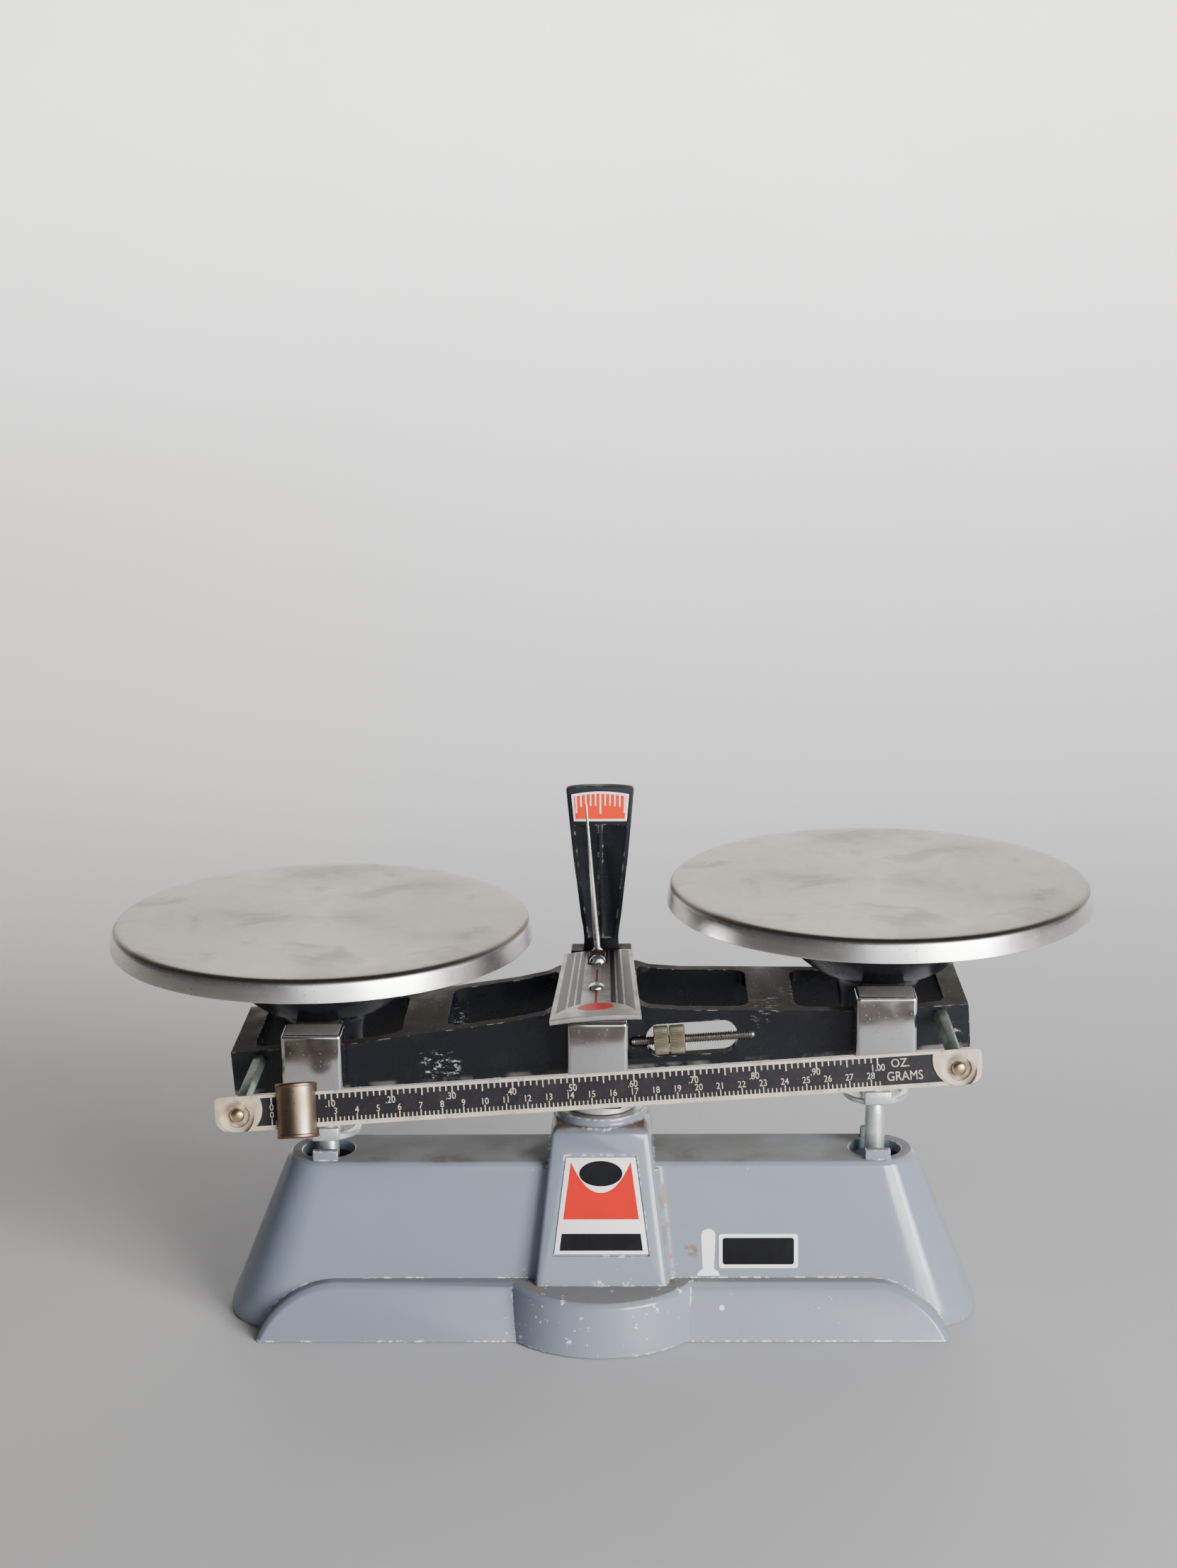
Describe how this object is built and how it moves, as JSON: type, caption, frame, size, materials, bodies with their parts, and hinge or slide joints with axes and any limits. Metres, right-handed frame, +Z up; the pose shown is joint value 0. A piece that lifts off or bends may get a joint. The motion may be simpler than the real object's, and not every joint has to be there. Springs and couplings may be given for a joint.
{
  "type": "trip balance",
  "caption": "Two-pan equal-arm trip balance: hollow base with pillar, open-frame beam on knife edges, graduated rider bar with sliding poise, pointer over a dial, level pans.",
  "frame": {"origin": "on the table, below the middle of the balance's overall box", "axes": "+X to the right along the beam, +Y to the rear (the pointer scale's side), +Z up"},
  "size_m": [0.3556, 0.1663, 0.1911],
  "materials": {
    "base_enamel": "satin blue-grey enamel, chipped along the edges, with a few rust stains",
    "black_enamel": "semi-gloss black enamel, dusty on top and scuffed to silver in places",
    "chrome_sheet": "bright plated sheet with dusty tops and light corrosion",
    "pan_steel": "satin stainless with fine turning marks, pits and brown tarnish",
    "zinc": "rough pale zinc plate",
    "steel": "plain bright steel",
    "knurled_nickel": "dull nickel over brass, worn yellow",
    "poise_bronze": "turned bronze with coppery rims",
    "rider_scale": "dark sunk field with raised cream rims, ticks and numbers",
    "striped_plate": "pale satin plate with dark stripes and a red line",
    "agate": "polished bearing blocks",
    "nameplate_print": "printed plate in red, white and black fields without wording",
    "side_label_print": "dark sticker with a white border and no wording",
    "dial_print": "orange dial with white ticks and border"
  },
  "bodies": {
    "base": {"base_casting": "base_enamel", "nameplate": "nameplate_print", "side_label": "side_label_print", "column_yoke": "black_enamel", "column_bolt": "steel", "centre_bearing_front": "agate", "centre_bearing_rear": "agate", "centre_cover_front": "chrome_sheet", "centre_cover_rear": "chrome_sheet", "scale_bracket": "black_enamel", "bracket_screw_left": "steel", "bracket_screw_right": "steel", "dial_plate": "dial_print", "link_bracket": "steel", "link_pivot_pin": "steel"},
    "check_link": {"check_link": "steel", "link_end_pin_left": "steel", "link_end_pin_right": "steel"},
    "beam": {"beam_casting": "black_enamel", "centre_knife": "steel", "left_knife_front": "steel", "left_knife_rear": "steel", "right_knife_front": "steel", "right_knife_rear": "steel", "top_plate": "striped_plate", "top_plate_screw": "steel", "pointer": "steel", "pointer_screw": "steel", "standoff_left": "zinc", "standoff_right": "zinc", "rider_bar": "rider_scale", "rider_bar_screw_left": "steel", "rider_bar_screw_right": "steel", "threaded_rod": "steel"},
    "poise": {"poise": "poise_bronze", "poise_spring": "steel"},
    "zero_nut_inner": {"zero_nut_inner": "knurled_nickel"},
    "zero_nut_outer": {"zero_nut_outer": "knurled_nickel"},
    "left_carrier": {"left_pan": "pan_steel", "left_pan_support": "black_enamel", "left_bearing_front": "agate", "left_bearing_rear": "agate", "left_cover_front": "chrome_sheet", "left_cover_rear": "chrome_sheet", "left_stem": "zinc", "left_stem_collar": "zinc"},
    "right_carrier": {"right_pan": "pan_steel", "right_pan_support": "black_enamel", "right_bearing_front": "agate", "right_bearing_rear": "agate", "right_cover_front": "chrome_sheet", "right_cover_rear": "chrome_sheet", "right_stem": "zinc", "right_stem_collar": "zinc"}
  },
  "joints": [
    {"name": "beam_tilt", "type": "hinge", "parent": "base", "child": "beam", "pos_m": [0, 0.00668, 0.1094], "axis": [0, 1, 0], "range_deg": [-1.8, 9.4]},
    {"name": "left_pan_hinge", "type": "hinge", "parent": "beam", "child": "left_carrier", "pos_m": [-0.10118, 0.00668, 0.10268], "axis": [0, 1, 0], "range_deg": [-9.4, 1.8]},
    {"name": "right_pan_hinge", "type": "hinge", "parent": "beam", "child": "right_carrier", "pos_m": [0.10118, 0.00668, 0.11612], "axis": [0, 1, 0], "range_deg": [-9.4, 1.8]},
    {"name": "check_link_tilt", "type": "hinge", "parent": "base", "child": "check_link", "pos_m": [0, 0.00668, 0.038], "axis": [0, 1, 0], "range_deg": [-1.8, 9.4]},
    {"name": "poise_slide", "type": "slide", "parent": "beam", "child": "poise", "axis": [0.9978, 0, 0.0663], "range_m": [-0.0015, 0.2045]},
    {"name": "zero_nut_inner_travel", "type": "slide", "parent": "beam", "child": "zero_nut_inner", "axis": [0.9978, 0, 0.0663], "range_m": [0, 0.011]},
    {"name": "zero_nut_outer_travel", "type": "slide", "parent": "zero_nut_inner", "child": "zero_nut_outer", "axis": [0.9978, 0, 0.0663], "range_m": [0, 0.0045]}
  ],
  "couplings": [
    {"joint": "left_pan_hinge", "follows": "beam_tilt", "ratio": -1},
    {"joint": "right_pan_hinge", "follows": "beam_tilt", "ratio": -1},
    {"joint": "check_link_tilt", "follows": "beam_tilt", "ratio": 1}
  ]
}
